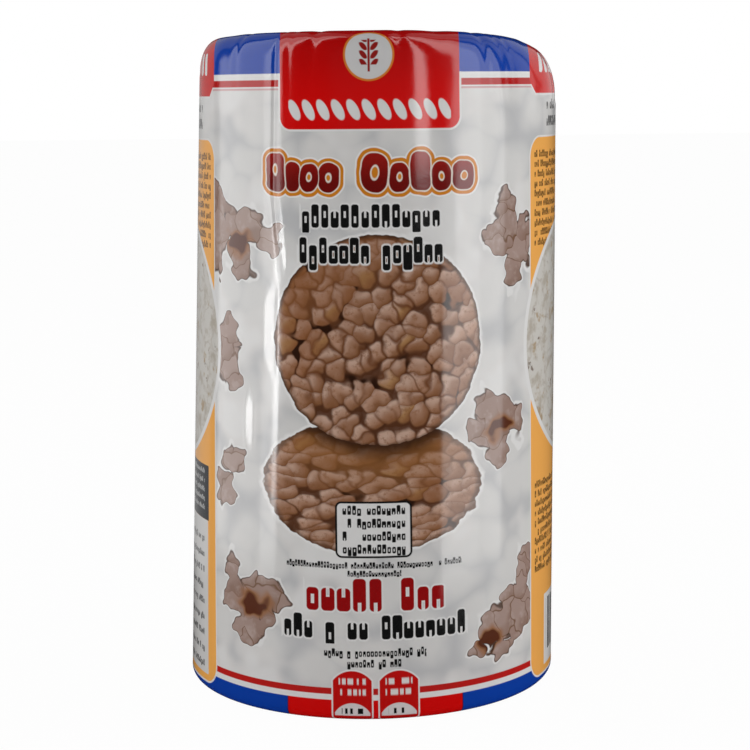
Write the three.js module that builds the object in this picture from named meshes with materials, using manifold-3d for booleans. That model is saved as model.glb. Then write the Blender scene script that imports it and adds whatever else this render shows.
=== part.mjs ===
// A shut pack of round puffed rice cakes: printed film drawn tight round a stack, standing on its end.
// Each end of the film tube is folded in from front and back, tucked at the sides and closed by a
// crimped seal that lies flat. A long seal runs down the back. The pack can't be seen into, so it is
// one solid. Millimetres, +Z up, the front of the print faces -Y.
import * as THREE from "three";
import { mergeVertices } from "three/addons/utils/BufferGeometryUtils.js";
import Module from "manifold-3d";

// The stack in its film
const PACK_HEIGHT = 168;
const TOP_RADIUS = 46.6;
const BASE_RADIUS = 48.4;
const STACK_LEAN = 3.7; // the top stands this far to +X of the base
const BASE_CENTRE_X = -0.75; // keeps the leaning pack in the middle of its own box

// Shoulders, where the film bends onto the top cake: how far in, how far down
const FRONT_SHOULDER = { inset: 9, drop: 9 };
const LEFT_SHOULDER = { inset: 7.3, drop: 9.1 };
const RIGHT_SHOULDER = { inset: 13.6, drop: 16.7 };
const RIGHT_SAG = 1.2; // the top lies this much lower on the right
const SHOULDER_POWER = 2.2; // 2 is an ellipse, more is squarer

// Base: a small rim, a flat ring that the pack stands on, and a shallow recess inside it
const BASE_RIM = 2.2;
const RING_INNER_RADIUS = 33;
const RECESS_SLOPE = 3;
const RECESS_DEPTH = 1.9;
const RECESS_RELIEF = 0.25; // the folds show this much as deep in the recess as on the top

// Folded ends: the front and back panels lie over the tucked sides
const PANEL_DIP = 1.5; // the panels sink towards the seal in the middle
const TUCK_STEP = 1.1; // how far the tucked sides lie below the panels
const TUCK_EDGE_WIDTH = 2.4;
const TUCK_RIM_ANGLE = 46; // degrees from front or back where a panel's edge leaves the rim
const TUCK_SEAL_END = 38; // where that edge meets the seal
const FOLD_BLEND = 9; // the folds fade out over this width inside the wall
const LEVELLING = 20; // the lower right side rises to full height over this width

// Tension creases in the film, deepest at the shoulders
const CREASE_DEPTH = 0.42;
const CREASE_REACH = 24;
const CREASE_WAVES = [
  { count: 13, phase: 0.4, share: 0.4 },
  { count: 22, phase: 2.1, share: 0.35 },
  { count: 31, phase: 4.4, share: 0.25 },
];

// Crimped end seals, folded flat towards the back
const SEAL_LENGTH = 74;
const BASE_SEAL_LENGTH = 54;
const SEAL_WIDTH = 12;
const SEAL_FROM_MIDDLE = 7.5;
const SEAL_PROUD = 0.5;
const SEAL_SUNK = 0.6; // how far each seal is let into the panel that it lies on
const SEAL_RIDGES = 32;
const SEAL_RIDGE_HEIGHT = 0.3;

// Long seal down the back, at the edge of a side panel
const FIN_ANGLE = 123;
const FIN_WIDTH = 11;
const FIN_PROUD = 0.7;
const FIN_SUNK = 1;
const FIN_BOTTOM = 5;
const FIN_TOP = 148;

// How finely the surfaces are cut
const ROUND_STEPS = 120;
const WALL_STEPS = 9;
const SHOULDER_STEPS = 7;
const RIM_STEPS = 3;
const RECESS_STEPS = 7;
const TOP_STEPS = 9;
const SEAL_ROWS = 4;
const FIN_ROWS = 9;
const FIN_COLUMNS = 7;

const wasm = await Module();
wasm.setup();

const radians = THREE.MathUtils.degToRad;
const smoothstep = THREE.MathUtils.smoothstep;

// How much an angle belongs to the left side, the right side and the front or back.
function sideShares(angle) {
  const across = Math.sin(angle);
  const left = Math.max(0, -across) ** 2;
  const right = Math.max(0, across) ** 2;
  return { left, right, front: 1 - left - right };
}

function shoulderAt(angle) {
  const { left, right, front } = sideShares(angle);
  const mix = (key) =>
    left * LEFT_SHOULDER[key] + right * RIGHT_SHOULDER[key] + front * FRONT_SHOULDER[key];
  return { inset: mix("inset"), drop: mix("drop"), top: PACK_HEIGHT - RIGHT_SAG * right };
}

function wallRadius(height) {
  return THREE.MathUtils.lerp(BASE_RADIUS, TOP_RADIUS, height / PACK_HEIGHT);
}

// Inward depth of the tension creases.
function creaseDepth(angle, height) {
  const fade = Math.exp(-Math.max(0, PACK_HEIGHT - height - 6) / CREASE_REACH);
  const wave = CREASE_WAVES.reduce(
    (sum, { count, phase, share }) => sum + share * Math.cos(count * angle + phase),
    0,
  );
  return CREASE_DEPTH * fade * (0.5 + 0.5 * wave);
}

// How far a point of a folded end lies below the end's rim.
function endSink(x, y, radius) {
  const dip = PANEL_DIP * (1 - Math.min(1, Math.abs(y) / radius)) ** 1.5;
  const rimX = radius * Math.sin(radians(TUCK_RIM_ANGLE));
  const rimY = radius * Math.cos(radians(TUCK_RIM_ANGLE));
  const edgeX = TUCK_SEAL_END + ((rimX - TUCK_SEAL_END) * Math.abs(y)) / rimY;
  const beyond = Math.abs(x) - edgeX;
  return dip + TUCK_STEP * smoothstep(beyond, -TUCK_EDGE_WIDTH / 2, TUCK_EDGE_WIDTH / 2);
}

// Height of the folded top at an angle and a distance from the axis, shoulders included.
function topHeight(angle, radius) {
  const { inset, drop, top } = shoulderAt(angle);
  const flatRadius = TOP_RADIUS - inset;
  const outwards = THREE.MathUtils.clamp((radius - flatRadius) / inset, 0, 1);
  const shoulder = drop * (1 - (1 - outwards ** SHOULDER_POWER) ** (1 / SHOULDER_POWER));
  const level = THREE.MathUtils.lerp(top, PACK_HEIGHT, smoothstep(flatRadius - radius, 0, LEVELLING));
  const sink = endSink(radius * Math.sin(angle), radius * Math.cos(angle), TOP_RADIUS);
  return level - shoulder - sink * smoothstep(TOP_RADIUS - radius, 1, FOLD_BLEND);
}

// Height of the recess under the base.
function recessHeight(angle, radius) {
  const sink = endSink(radius * Math.sin(angle), radius * Math.cos(angle), BASE_RADIUS);
  return RECESS_DEPTH - RECESS_RELIEF * (PANEL_DIP + TUCK_STEP - sink);
}

// A point at an angle from the front, a distance from the leaning axis and a height.
function place(angle, radius, height) {
  const axisX = BASE_CENTRE_X + (STACK_LEAN * height) / PACK_HEIGHT;
  return [axisX + radius * Math.sin(angle), -radius * Math.cos(angle), height];
}

function recessLine(angle) {
  const line = [];
  for (let i = 1; i <= RECESS_STEPS; i++) {
    const radius = ((RING_INNER_RADIUS - RECESS_SLOPE) * i) / RECESS_STEPS;
    line.push([radius, recessHeight(angle, radius)]);
  }
  return line;
}

function standingLine() {
  const ringOuterRadius = BASE_RADIUS - BASE_RIM;
  const line = [[RING_INNER_RADIUS, 0]];
  line.push([(RING_INNER_RADIUS + ringOuterRadius) / 2, 0]);
  for (let i = 0; i <= RIM_STEPS; i++) {
    const turn = (Math.PI / 2) * (i / RIM_STEPS);
    const height = BASE_RIM * (1 - Math.cos(turn));
    line.push([ringOuterRadius + BASE_RIM * Math.sin(turn), height]);
  }
  return line;
}

function wallLine(angle) {
  const line = [];
  const { inset, drop, top } = shoulderAt(angle);
  for (let i = 1; i < WALL_STEPS; i++) {
    const height = THREE.MathUtils.lerp(BASE_RIM, top - drop, i / WALL_STEPS);
    line.push([wallRadius(height) - creaseDepth(angle, height), height]);
  }
  for (let i = 0; i <= SHOULDER_STEPS; i++) {
    const turn = (Math.PI / 2) * (i / SHOULDER_STEPS);
    const radius = TOP_RADIUS - inset * (1 - Math.cos(turn) ** (2 / SHOULDER_POWER));
    const height = topHeight(angle, radius);
    line.push([radius - creaseDepth(angle, height), height]);
  }
  return line;
}

function foldedTopLine(angle) {
  const line = [];
  const flatRadius = TOP_RADIUS - shoulderAt(angle).inset;
  for (let i = 1; i < TOP_STEPS; i++) {
    const radius = flatRadius * (1 - i / TOP_STEPS);
    line.push([radius, topHeight(angle, radius)]);
  }
  return line;
}

// One line of the film from the middle of the base, up the wall, to the middle of the top.
function filmLine(angle) {
  return [recessLine, standingLine, wallLine, foldedTopLine].flatMap((part) => part(angle));
}

// The closed film body: the lines side by side, joined to one point in the middle of each end.
function filmBody() {
  const positions = [];
  const indices = [];
  let rows = 0;
  for (let i = 0; i < ROUND_STEPS; i++) {
    const angle = (2 * Math.PI * i) / ROUND_STEPS;
    const line = filmLine(angle);
    rows = line.length;
    line.forEach(([radius, height]) => positions.push(...place(angle, radius, height)));
  }
  const baseMiddle = positions.length / 3;
  positions.push(...place(0, 0, recessHeight(0, 0)));
  const topMiddle = baseMiddle + 1;
  positions.push(...place(0, 0, topHeight(0, 0)));
  for (let i = 0; i < ROUND_STEPS; i++) {
    const here = i * rows;
    const next = ((i + 1) % ROUND_STEPS) * rows;
    indices.push(baseMiddle, next, here);
    for (let j = 0; j < rows - 1; j++) {
      indices.push(here + j, next + j, next + j + 1);
      indices.push(here + j, next + j + 1, here + j + 1);
    }
    indices.push(topMiddle, here + rows - 1, next + rows - 1);
  }
  return surface(positions, indices);
}

function surface(positions, indices) {
  const geometry = new THREE.BufferGeometry();
  geometry.setAttribute("position", new THREE.Float32BufferAttribute(positions, 3));
  geometry.setIndex(indices);
  return geometry;
}

// A closed strip between a lower and an upper grid of points, each with rows x columns points.
function slab(lower, upper, rows, columns) {
  const positions = [...lower, ...upper].flat();
  const indices = [];
  const above = rows * columns;
  const quad = (a, b, c, d) => indices.push(a, b, c, a, c, d);
  for (let j = 0; j < rows - 1; j++) {
    for (let i = 0; i < columns - 1; i++) {
      const at = j * columns + i;
      quad(above + at, above + at + 1, above + at + 1 + columns, above + at + columns);
      quad(at, at + columns, at + 1 + columns, at + 1);
    }
    const first = j * columns;
    const last = first + columns - 1;
    quad(first, above + first, above + first + columns, first + columns);
    quad(last, last + columns, above + last + columns, above + last);
  }
  for (let i = 0; i < columns - 1; i++) {
    const back = (rows - 1) * columns + i;
    quad(i, i + 1, above + i + 1, above + i);
    quad(back, above + back, above + back + 1, back + 1);
  }
  return surface(positions, indices);
}

// A crimped end seal lying on a folded end: ridged along its length, following the end under it.
function endSeal(length, centreX, outwards, heightAt) {
  const lower = [];
  const upper = [];
  const columns = 2 * SEAL_RIDGES + 1;
  for (let j = 0; j < SEAL_ROWS; j++) {
    const y = SEAL_FROM_MIDDLE + SEAL_WIDTH * (j / (SEAL_ROWS - 1) - 0.5);
    for (let i = 0; i < columns; i++) {
      const x = length * (i / (columns - 1) - 0.5);
      const level = heightAt(Math.atan2(x, -y), Math.hypot(x, y));
      const ridge = i % 2 === 1 ? SEAL_RIDGE_HEIGHT : 0;
      const inner = [centreX + x, y, level - outwards * SEAL_SUNK];
      const outer = [centreX + x, y, level + outwards * (SEAL_PROUD + ridge)];
      lower.push(outwards > 0 ? inner : outer);
      upper.push(outwards > 0 ? outer : inner);
    }
  }
  return slab(lower, upper, SEAL_ROWS, columns);
}

function topSeal() {
  return endSeal(SEAL_LENGTH, BASE_CENTRE_X + STACK_LEAN, 1, topHeight);
}

function baseSeal() {
  return endSeal(BASE_SEAL_LENGTH, BASE_CENTRE_X, -1, recessHeight);
}

// The long seal: a curved strip that follows the wall.
function longSeal() {
  const inner = [];
  const outer = [];
  const halfTurn = FIN_WIDTH / (TOP_RADIUS + BASE_RADIUS);
  for (let j = 0; j < FIN_ROWS; j++) {
    const height = THREE.MathUtils.lerp(FIN_BOTTOM, FIN_TOP, j / (FIN_ROWS - 1));
    for (let i = 0; i < FIN_COLUMNS; i++) {
      const angle = radians(FIN_ANGLE) + halfTurn * ((2 * i) / (FIN_COLUMNS - 1) - 1);
      inner.push(place(angle, wallRadius(height) - FIN_SUNK, height));
      outer.push(place(angle, wallRadius(height) + FIN_PROUD, height));
    }
  }
  return slab(inner, outer, FIN_ROWS, FIN_COLUMNS);
}

function toSolid(geometry) {
  const bare = geometry.clone();
  bare.deleteAttribute("normal");
  bare.deleteAttribute("uv");
  const merged = mergeVertices(bare, 1e-4);
  const vertProperties = new Float32Array(merged.attributes.position.array);
  const triVerts = new Uint32Array(merged.index.array);
  return new wasm.Manifold(new wasm.Mesh({ numProp: 3, vertProperties, triVerts }));
}

function toGeometry(solid) {
  const { vertProperties, triVerts } = solid.getMesh();
  const geometry = new THREE.BufferGeometry();
  geometry.setAttribute("position", new THREE.BufferAttribute(vertProperties, 3));
  geometry.setIndex(new THREE.BufferAttribute(triVerts, 1));
  geometry.computeVertexNormals();
  return geometry;
}

const pieces = [topSeal(), baseSeal(), longSeal()].map(toSolid);
const packSolid = pieces.reduce((whole, piece) => whole.add(piece), toSolid(filmBody()));

const printedFilm = new THREE.MeshStandardMaterial({
  color: 0xd9d5d2,
  roughness: 0.28,
  metalness: 0,
});

const pack = new THREE.Mesh(toGeometry(packSolid), printedFilm);
pack.name = "pack";

const riceCakePack = new THREE.Group();
riceCakePack.add(pack);

export default riceCakePack;
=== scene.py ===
"""A shut, printed film pack of round puffed rice cakes, standing on its folded end."""

from functools import reduce
import math
import random

import bpy
import numpy as np
from mathutils import Matrix, Vector


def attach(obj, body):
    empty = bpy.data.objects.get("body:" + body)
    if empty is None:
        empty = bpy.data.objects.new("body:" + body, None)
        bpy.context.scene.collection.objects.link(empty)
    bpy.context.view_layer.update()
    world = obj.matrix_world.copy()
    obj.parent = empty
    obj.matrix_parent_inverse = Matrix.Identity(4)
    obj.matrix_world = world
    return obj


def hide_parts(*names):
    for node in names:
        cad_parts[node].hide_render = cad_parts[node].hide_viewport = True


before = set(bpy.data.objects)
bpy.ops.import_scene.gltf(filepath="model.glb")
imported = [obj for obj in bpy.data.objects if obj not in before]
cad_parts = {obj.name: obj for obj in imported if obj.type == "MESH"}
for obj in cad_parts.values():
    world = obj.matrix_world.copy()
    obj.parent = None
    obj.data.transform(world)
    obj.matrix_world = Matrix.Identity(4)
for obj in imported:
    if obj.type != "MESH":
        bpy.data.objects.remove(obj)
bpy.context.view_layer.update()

# Sizes are in millimetres and angles in radians, until the meshes are written in metres.
MM = 0.001

# The stack in its film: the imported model's sizes, a touch slimmer and tighter at its shoulders
PACK_HEIGHT = 167.9
TOP_RADIUS = 46.1
BASE_RADIUS = 48.2
FILM_RADIUS = 47.5
FILM_TURN = 2 * math.pi * FILM_RADIUS
STACK_LEAN = 3.5
BASE_X = -0.75

# How far each side's shoulder reaches in from the wall and down from the top
SHOULDERS = {"front": (5.5, 6.0), "left": (7.0, 9.1), "right": (12.8, 15.9)}
RIGHT_SAG = 1.2
SHOULDER_POWER = 2.2
TOP_EDGE = TOP_RADIUS - SHOULDERS["front"][0]
BASE_RIM = 2.2
RING_RADIUS = 33.0
RECESS_SLOPE = 3.0
RECESS_DEPTH = 1.9
RECESS_RELIEF = 0.25
BASE_EDGE = RING_RADIUS - RECESS_SLOPE

# Folded ends
PANEL_DIP = 1.5
TUCK_STEP = 1.1
TUCK_EDGE_WIDTH = 3.0
TUCK_RIM_ANGLE = math.radians(46)
TUCK_SEAL_END = 38.0
FOLD_BLEND = 17.0
LEVELLING = 20.0

# Camera: where it stands, how it looks down, and the photograph's frame
CAMERA_DISTANCE = 502.0
CAMERA_HEIGHT = 153.5
CAMERA_X = 1.1
CAMERA_PITCH = math.radians(7.34)
CAMERA_ROLL = math.radians(-0.63)
CAMERA_SHIFT = -0.05
CAMERA_LENS = 91.85
SENSOR_WIDTH = 36.0


def smoothstep(value, low, high):
    share = np.clip((value - low) / (high - low), 0, 1)
    return share * share * (3 - 2 * share)


# Form of the film


def side_shares(angle):
    """How much an angle from the front belongs to each side; the back counts as front."""
    across = np.sin(angle)
    left = np.maximum(0, -across) ** 4
    right = np.maximum(0, across) ** 2
    return {"left": left, "right": right, "front": 1 - left - right}


def shoulder_at(angle):
    shares = side_shares(angle)
    inset, drop = (sum(share * SHOULDERS[side][i] for side, share in shares.items()) for i in (0, 1))
    return inset, drop, PACK_HEIGHT - RIGHT_SAG * shares["right"]


def wall_radius(height):
    return BASE_RADIUS + (TOP_RADIUS - BASE_RADIUS) * height / PACK_HEIGHT


def tuck_edge_x(y, radius):
    """Where a panel's edge lies over the tucked side, on either side of the middle."""
    rim_x = radius * math.sin(TUCK_RIM_ANGLE)
    rim_y = radius * math.cos(TUCK_RIM_ANGLE)
    return TUCK_SEAL_END + (rim_x - TUCK_SEAL_END) * np.abs(y) / rim_y


def end_sink(x, y, radius):
    """How far a point of a folded end lies below the end's rim."""
    dip = PANEL_DIP * (1 - np.minimum(1, np.abs(y) / radius)) ** 1.5
    beyond = np.abs(x) - tuck_edge_x(y, radius)
    return dip + TUCK_STEP * smoothstep(beyond, -TUCK_EDGE_WIDTH / 2, TUCK_EDGE_WIDTH / 2)


def top_height(angle, radius):
    inset, drop, top = shoulder_at(angle)
    flat_radius = TOP_RADIUS - inset
    outwards = np.clip((radius - flat_radius) / inset, 0, 1)
    shoulder = drop * (1 - (1 - outwards**SHOULDER_POWER) ** (1 / SHOULDER_POWER))
    level = top + (PACK_HEIGHT - top) * smoothstep(flat_radius - radius, 0, LEVELLING)
    sink = end_sink(radius * np.sin(angle), radius * np.cos(angle), TOP_RADIUS)
    return level - shoulder - sink * smoothstep(TOP_RADIUS - radius, 1, FOLD_BLEND)


def recess_height(angle, radius):
    sink = end_sink(radius * np.sin(angle), radius * np.cos(angle), BASE_RADIUS)
    return RECESS_DEPTH - RECESS_RELIEF * (PANEL_DIP + TUCK_STEP - sink)


def axis_x(height):
    return BASE_X + STACK_LEAN * height / PACK_HEIGHT


def place(angle, radius, height):
    """Points at an angle from the front, a distance from the leaning axis and a height."""
    return np.stack([axis_x(height) + radius * np.sin(angle), -radius * np.cos(angle), height], axis=-1)


# Creases and crinkles of the film, as depths below its smooth surface

CREASE_REACH = 24.0
CREASE_DEPTH = 0.25
CREASE_WAVES = ((13, 0.4, 0.4), (22, 2.1, 0.35), (31, 4.4, 0.25))
CREASE_HOLD = 6.0

# Creases that the photograph shows: where along the film, from what height to what height,
# how far they drift sideways, half-width and depth
SHOWN_CREASES = (
    (-23.5, 172, 128, 1.5, 1.0, 0.12),
    (-16.6, 172, 146, -1.0, 1.4, 0.35),
    (5.2, 173, 150, 0.5, 1.5, 0.28),
    (16.0, 174, 122, 3.0, 3.4, 0.34),
    (29.3, 173, 138, -0.5, 1.6, 0.5),
    (34.5, 172, 146, 0.5, 1.1, 0.22),
    (38.0, 171, 146, 0.5, 1.2, 0.2),
    (-41.0, 171, 135, 1.0, 1.3, 0.24),
    (-27.0, 130, 108, 2.5, 0.6, 0.16),
)
OTHER_CREASES = 16

# Towards the middle of the top the creases fade between these radii
CREASE_START = 44.5
CREASE_END = 35.0

# Near the base they fade between these distances up the film
CREASE_LOW = (4, 16)

CRINKLES = 26
CRINKLE_DEPTH = 0.045

# Short flat pulls in the film beside the round picture: where along the film, from what height to
# what height, sideways drift and bow, half-width, and the way they face in degrees from the front
FLAT_PULLS = (
    (-25.9, 110, 130, 2.6, 0.3, 0.8, -31.4),
    (-26.6, 84, 108, 0.0, -1.3, 1.9, -31.0),
    (-33.9, 65, 81, 0.0, 0.0, 1.5, -30.2),
    (-25.6, 66, 80, 0.0, 0.0, 0.7, -31.2),
)
PULL_EDGE = 0.6


def crease_list():
    """The shown creases, and others by a seeded rule round the sides and the back."""
    draw = random.Random(7)
    creases = list(SHOWN_CREASES)
    for i in range(OTHER_CREASES):
        along = 60 + 180 * (i + draw.random()) / OTHER_CREASES
        bottom = draw.uniform(118, 150)
        drift = draw.uniform(-2, 2)
        creases.append((along, 173, bottom, drift, draw.uniform(0.9, 2.0), draw.uniform(0.15, 0.4)))
    return creases


def crease_depth(angle, height):
    """The long tension waves that the solid has too, deepest at the shoulders."""
    fade = np.exp(-np.maximum(0, PACK_HEIGHT - height - CREASE_HOLD) / CREASE_REACH)
    wave = sum(share * np.cos(count * angle + phase) for count, phase, share in CREASE_WAVES)
    return CREASE_DEPTH * fade * (0.5 + 0.5 * wave)


def fine_creases(along, up):
    """Single creases, by distance along the film and up it."""
    depth = np.zeros_like(along)
    for start, top, bottom, drift, half_width, deepest in crease_list():
        down = np.clip((top - up) / (top - bottom), 0, 1)
        centre = start + drift * down
        across = (along - centre + FILM_TURN / 2) % FILM_TURN - FILM_TURN / 2
        profile = np.exp(-((across / half_width) ** 2))
        depth += deepest * profile * (1 - down) ** 1.5
    return depth


def crinkles(along, up):
    """Shallow uneven waves of drawn film, seeded."""
    draw = random.Random(31)
    depth = np.zeros_like(along)
    for _ in range(CRINKLES):
        count = draw.randint(3, 22)
        rise = draw.uniform(-0.09, 0.09)
        phase = draw.uniform(0, 2 * math.pi)
        depth += np.cos(2 * math.pi * count * along / FILM_TURN + rise * up + phase) / (2 + count)
    return CRINKLE_DEPTH * depth


def flat_pulls(along, up):
    """How far the flat pulls stand out from the round film."""
    height = np.zeros_like(along)
    for start, low, high, drift, bow, half_width, facing in FLAT_PULLS:
        down = np.clip((high - up) / (high - low), 0, 1)
        swell = np.minimum(1, 6 * down * (1 - down))
        middle = start + drift * down + bow * swell
        across = along - middle
        turned = middle / FILM_RADIUS - math.radians(facing)
        plane = turned * across + across**2 / (2 * FILM_RADIUS)
        reach = half_width * np.sqrt(swell) + PULL_EDGE
        height += plane * smoothstep(reach - np.abs(across), 0, PULL_EDGE) * smoothstep(swell, 0, 0.3)
    return height


def creased(points, along, up, radius):
    """The film's points, moved in by its creases and crinkles and out by its flat pulls."""
    around = np.roll(points, -1, axis=0) - np.roll(points, 1, axis=0)
    normal = np.cross(around, np.gradient(points, axis=1))
    normal /= np.linalg.norm(normal, axis=2, keepdims=True) + 1e-12
    on_wall = smoothstep(up, *CREASE_LOW) * smoothstep(radius, CREASE_END, CREASE_START)
    depth = fine_creases(along, up) + crinkles(along, up) - flat_pulls(along, up)
    return points - normal * (depth * on_wall)[:, :, None]


# Meshes

# Columns round the film, closer in front, and rows from the middle of the base to that of the top
AROUND = 440
FRONT_DENSITY = 0.5
FRONT_COLUMN = AROUND // 2
RECESS_ROWS = 18
RING_ROWS = 5
RIM_ROWS = 7
WALL_ROWS = 112
SHOULDER_ROWS = 30
TOP_ROWS = 30
RECESS_END = RECESS_ROWS - 1
RIM_END = RECESS_END + RING_ROWS + RIM_ROWS
TOP_START = RIM_END + WALL_ROWS + SHOULDER_ROWS
ROWS = TOP_START + TOP_ROWS

# Between these angles from the front the print turns from going straight up to going round
STRAIGHT_UNTIL = math.radians(64)
GATHERED_FROM = math.radians(86)


def make_piece(name, points, faces, uv, material):
    """A smooth piece from points in millimetres, with one print coordinate for each face corner."""
    mesh = bpy.data.meshes.new(name)
    mesh.from_pydata((points * MM).tolist(), [], faces)
    layer = mesh.uv_layers.new(name="Print")
    layer.data.foreach_set("uv", np.asarray(uv, dtype=np.float32).ravel())
    mesh.polygons.foreach_set("use_smooth", [True] * len(mesh.polygons))
    mesh.materials.append(material)
    mesh.validate()
    mesh.update()
    piece = bpy.data.objects.new(name, mesh)
    bpy.context.scene.collection.objects.link(piece)
    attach(piece, "root")
    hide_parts("pack")


def film_rows(angle):
    """Radius and height of the film at each angle, for every row of its points."""
    inset, drop, top = shoulder_at(angle)
    ring_outer = BASE_RADIUS - BASE_RIM
    rows = []
    for i in range(1, RECESS_ROWS + 1):
        radius = BASE_EDGE * i / RECESS_ROWS
        rows.append((radius, recess_height(angle, radius)))
    for i in range(RING_ROWS):
        rows.append((RING_RADIUS + (ring_outer - RING_RADIUS) * (i / (RING_ROWS - 1)), 0))
    for i in range(1, RIM_ROWS + 1):
        turn = math.pi / 2 * i / RIM_ROWS
        rows.append((ring_outer + BASE_RIM * math.sin(turn), BASE_RIM * (1 - math.cos(turn))))
    for i in range(1, WALL_ROWS):
        height = BASE_RIM + (top - drop - BASE_RIM) * i / WALL_ROWS
        rows.append((wall_radius(height) - crease_depth(angle, height), height))
    for i in range(SHOULDER_ROWS + 1):
        turn = math.pi / 2 * i / SHOULDER_ROWS
        radius = TOP_RADIUS - inset * (1 - math.cos(turn) ** (2 / SHOULDER_POWER))
        height = top_height(angle, radius)
        rows.append((radius - crease_depth(angle, height), height))
    for i in range(1, TOP_ROWS):
        radius = (TOP_RADIUS - inset) * (1 - i / TOP_ROWS)
        rows.append((radius, top_height(angle, radius)))
    return (np.array([np.broadcast_to(row[i], AROUND) for row in rows]).T for i in (0, 1))


def straight_print(x, y):
    """Where along the film a point lies when the print runs straight over the end."""
    along = FILM_RADIUS * np.arcsin(np.clip(x / TOP_RADIUS, -1, 1))
    half_turn = FILM_TURN / 2
    return np.where(y > 0, np.where(along >= 0, half_turn, -half_turn) - along, along)


def shoulder_print(angles, radius):
    """Along the film over the wall and the shoulder: straight in front, gathered at the sides."""
    share = np.minimum(1, radius / np.maximum(radius, TOP_RADIUS))
    from_front = np.abs(np.arctan2(np.sin(angles), np.abs(np.cos(angles))))
    straight = np.arcsin(np.clip(share * np.sin(angles), -1, 1))
    back = np.cos(angles) < 0
    straight = np.where(back, np.where(angles >= 0, math.pi, -math.pi) - straight, straight)
    gathered = smoothstep(from_front, STRAIGHT_UNTIL, GATHERED_FROM)
    return FILM_RADIUS * (straight + (angles - straight) * gathered)


def folded_print(x, y, edge_radius, edge_up, outwards):
    """Print coordinates on a folded end: a panel's film runs straight in from its rim."""
    inwards = np.sqrt(np.maximum(0, edge_radius**2 - x**2)) - np.abs(y)
    return np.stack([straight_print(x, y), edge_up + outwards * inwards], axis=-1)


class FilmGrid:
    """The film's points by column and row, and how far up the film each one is."""

    def __init__(self):
        angle = -math.pi + 2 * math.pi * np.arange(AROUND) / AROUND
        angle -= FRONT_DENSITY * np.sin(angle)
        self.radius, self.height = film_rows(angle)
        self.angle = np.repeat(angle[:, None], ROWS, axis=1)
        step = np.hypot(np.diff(self.radius, axis=1), np.diff(self.height, axis=1))
        self.up = np.concatenate([np.zeros((AROUND, 1)), np.cumsum(step, axis=1)], axis=1)
        self.up += BASE_RIM - self.up[:, RIM_END : RIM_END + 1]
        smooth = place(self.angle, self.radius, self.height)
        self.points = creased(smooth, FILM_RADIUS * self.angle, self.up, self.radius)

    def front_up(self, row):
        return self.up[FRONT_COLUMN, row]


def quad_corners():
    """The column and the row of each corner of the film's four-sided faces."""
    column, row = np.meshgrid(np.arange(AROUND), np.arange(ROWS - 1), indexing="ij")
    column, row = column.ravel(), row.ravel()
    following = (column + 1) % AROUND
    columns = np.stack([column, following, following, column], axis=1)
    return columns, np.stack([row, row, row + 1, row + 1], axis=1)


def quad_print(grid, columns, rows):
    """Print coordinates of those corners: wrapped on the wall, panel by panel on the ends."""
    x = grid.points[:, :, 0] - BASE_X - STACK_LEAN * grid.height / PACK_HEIGHT
    y = grid.points[:, :, 1]
    top_print = folded_print(x, y, TOP_EDGE, grid.front_up(TOP_START), 1)
    base_print = folded_print(x, y, BASE_EDGE, grid.front_up(RECESS_END), -1)
    above_rim = grid.up > grid.front_up(RIM_END) + 1
    print_radius = np.where(grid.height > PACK_HEIGHT / 2, grid.radius, TOP_RADIUS)
    along = np.where(above_rim, shoulder_print(grid.angle, print_radius), FILM_RADIUS * grid.angle)
    uv = np.stack([along, grid.up], axis=-1)[columns, rows]
    uv[:, 1:3, 0] += np.where(columns[:, 0] == AROUND - 1, FILM_TURN, 0)[:, None]

    middle_x = x[columns, rows].mean(axis=1)
    middle_y = y[columns, rows].mean(axis=1)
    on_panel = np.abs(middle_x) < tuck_edge_x(middle_y, TOP_RADIUS)
    on_top = (on_panel & (rows[:, 0] >= TOP_START))[:, None]
    on_base = (on_panel & (rows[:, 0] < RECESS_END))[:, None]
    uv = np.where(on_top[:, :, None], top_print[columns, rows], uv)
    uv = np.where(on_base[:, :, None], base_print[columns, rows], uv)
    behind = (middle_y > 0)[:, None] & (uv[:, :, 0] < 0) & (on_top | on_base)
    uv[:, :, 0] += np.where(behind, FILM_TURN, 0)
    return uv.reshape(-1, 2).tolist()


def film_piece(material):
    """The film as one closed surface, with its creases; a fan of faces closes each end's middle."""
    grid = FilmGrid()
    columns, rows = quad_corners()
    faces = (columns * ROWS + rows).tolist()
    uv = quad_print(grid, columns, rows)
    base_middle = AROUND * ROWS
    for i in range(AROUND):
        low = i * ROWS
        high = (i + 1) % AROUND * ROWS
        faces.append([base_middle, high, low])
        faces.append([base_middle + 1, low + ROWS - 1, high + ROWS - 1])
        along = 0 if math.cos(grid.angle[i, 0]) > 0 else FILM_TURN / 2
        uv += [(along, grid.front_up(RECESS_END) - BASE_EDGE)] * 3
        uv += [(along, grid.front_up(TOP_START) + TOP_EDGE)] * 3
    middles = place(np.zeros(2), np.zeros(2), np.array([recess_height(0.0, 0.0), top_height(0.0, 0.0)]))
    make_piece("film_wrap", np.concatenate([grid.points.reshape(-1, 3), middles]), faces, uv, material)


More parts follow.
